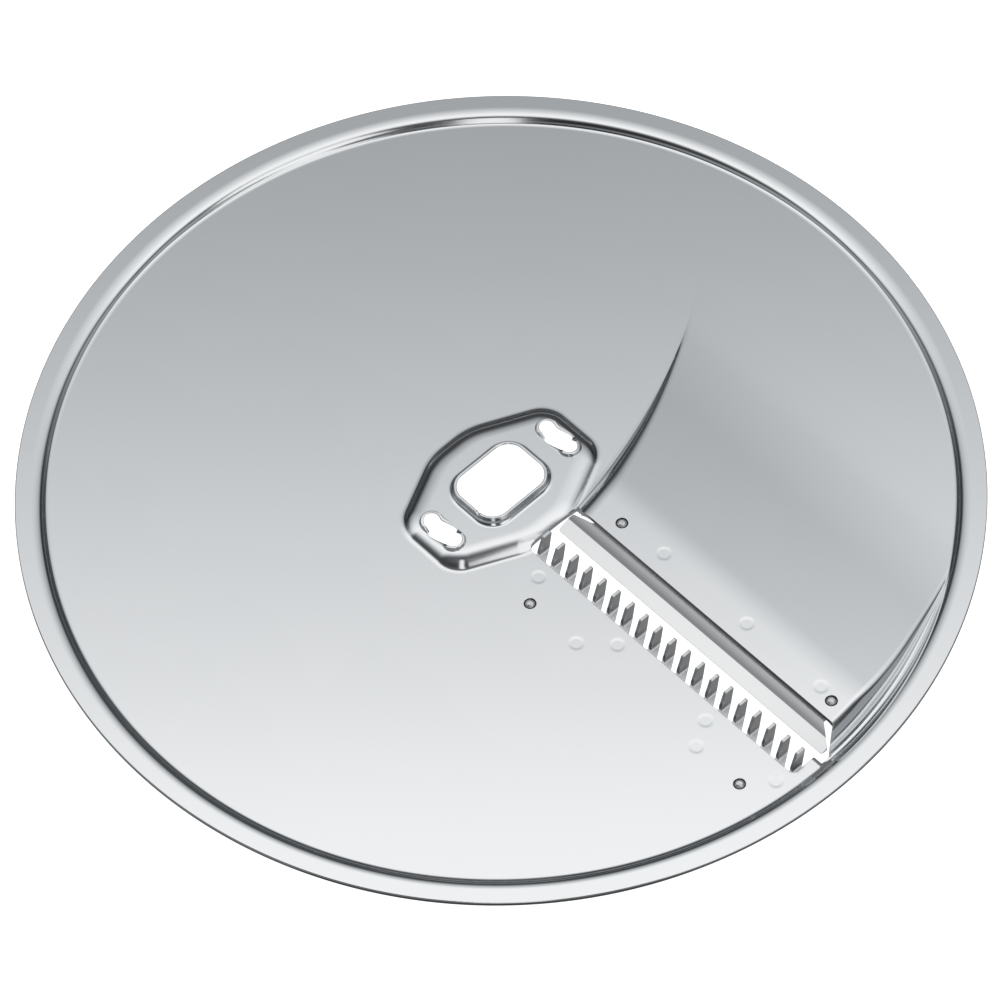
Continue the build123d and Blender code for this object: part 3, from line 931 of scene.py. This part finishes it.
def sheet_steel():
    """Bright rolled sheet with a faint grain, and rougher sheared edges outside the hub whose colour is
    painted dark as shade.
    """
    material, shader = new_steel("pressed_sheet")
    links = material.node_tree.links
    clouds = streaks(material, (45, 45, 45), 3.0)
    grain = streaks(material, (120, 5200, 120), 2.0)
    along = add_math(material, "POWER", object_place(material, "X"), 2.0)
    across = add_math(material, "POWER", object_place(material, "Y"), 2.0)
    from_axis = add_math(material, "SQRT", add_math(material, "ADD", along, across))
    past_hub = map_range(material, from_axis, *HUB_EDGE, 0.0, 1.0)
    # Painted shade: upright faces outside the hub take the dark sheared-edge colour, and they are also made
    # rougher
    edges = add_math(material, "MULTIPLY", upright_mask(material), past_hub)
    sheet = mix_colors(material, "MIX", clouds, *SHEET_TONES)
    color = mix_colors(material, "MIX", edges, sheet, SHEARED_EDGE_SHADE)
    smooth = map_range(material, clouds, 0.3, 0.7, 0.10, 0.14)
    dull = add_math(material, "MULTIPLY", edges, 0.22)
    links.new(color, shader.inputs["Base Color"])
    links.new(add_math(material, "ADD", smooth, dull), shader.inputs["Roughness"])
    add_bump(material, grain, 0.0000004)
    return material


def blade_steel():
    """Strip ground lengthwise to a dull grey that also carries a painted reflection, darker near the bevel
    and lighter towards the landing, with a bright bevel along the cutting edge.
    """
    material, shader = new_steel("ground_blade")
    links = material.node_tree.links
    lines = streaks(material, (60, 9000, 9000), 3.0)
    place = object_place(material, "Y")
    flat = map_range(material, place, *BEVEL_END, 0.0, 1.0)
    # Painted reflection: the ground strip's grey lightens from near the bevel towards the landing
    reflection_towards_landing = map_range(material, place, *PAINTED_REFLECTION_FADE, 0.0, 1.0)
    ground = mix_colors(material, "MIX", reflection_towards_landing, *GROUND_AND_REFLECTION_TONES)
    scratches = mix_colors(material, "MIX", lines, *SCRATCH_TONES)
    scratched_with_reflection = mix_colors(material, "MULTIPLY", 1.0, ground, scratches)
    color = mix_colors(material, "MIX", flat, BEVEL_TONE, scratched_with_reflection)
    links.new(color, shader.inputs["Base Color"])
    links.new(map_range(material, flat, 0.0, 1.0, 0.16, 0.36), shader.inputs["Roughness"])
    bevel_place = map_range(material, place, 0.0, BEVEL_WIDTH, BEVEL_WIDTH, 0.0)
    ease = add_bump(material, bevel_place, BEVEL_EASE)
    add_bump(material, lines, 0.0000015, ease)
    return material


def comb_steel():
    """Thin satin strip with sheared and folded teeth."""
    material, shader = new_steel("comb_steel")
    links = material.node_tree.links
    clouds = streaks(material, (400, 400, 400), 3.0)
    color = mix_colors(material, "MIX", clouds, *COMB_TONES)
    links.new(color, shader.inputs["Base Color"])
    links.new(map_range(material, clouds, 0.3, 0.7, 0.30, 0.42), shader.inputs["Roughness"])
    add_bump(material, clouds, 0.00001)
    return material


def paint(node, material):
    """Give a node its material in every slot."""
    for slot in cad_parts[node].material_slots:
        slot.material = material


add_camera()
add_world()
add_floor()
add_underlay()
add_soft_box()
add_sheet(sheet_steel())
paint("slicing_blade", blade_steel())
paint("julienne_comb", comb_steel())
bpy.context.scene.view_settings.view_transform = "Standard"
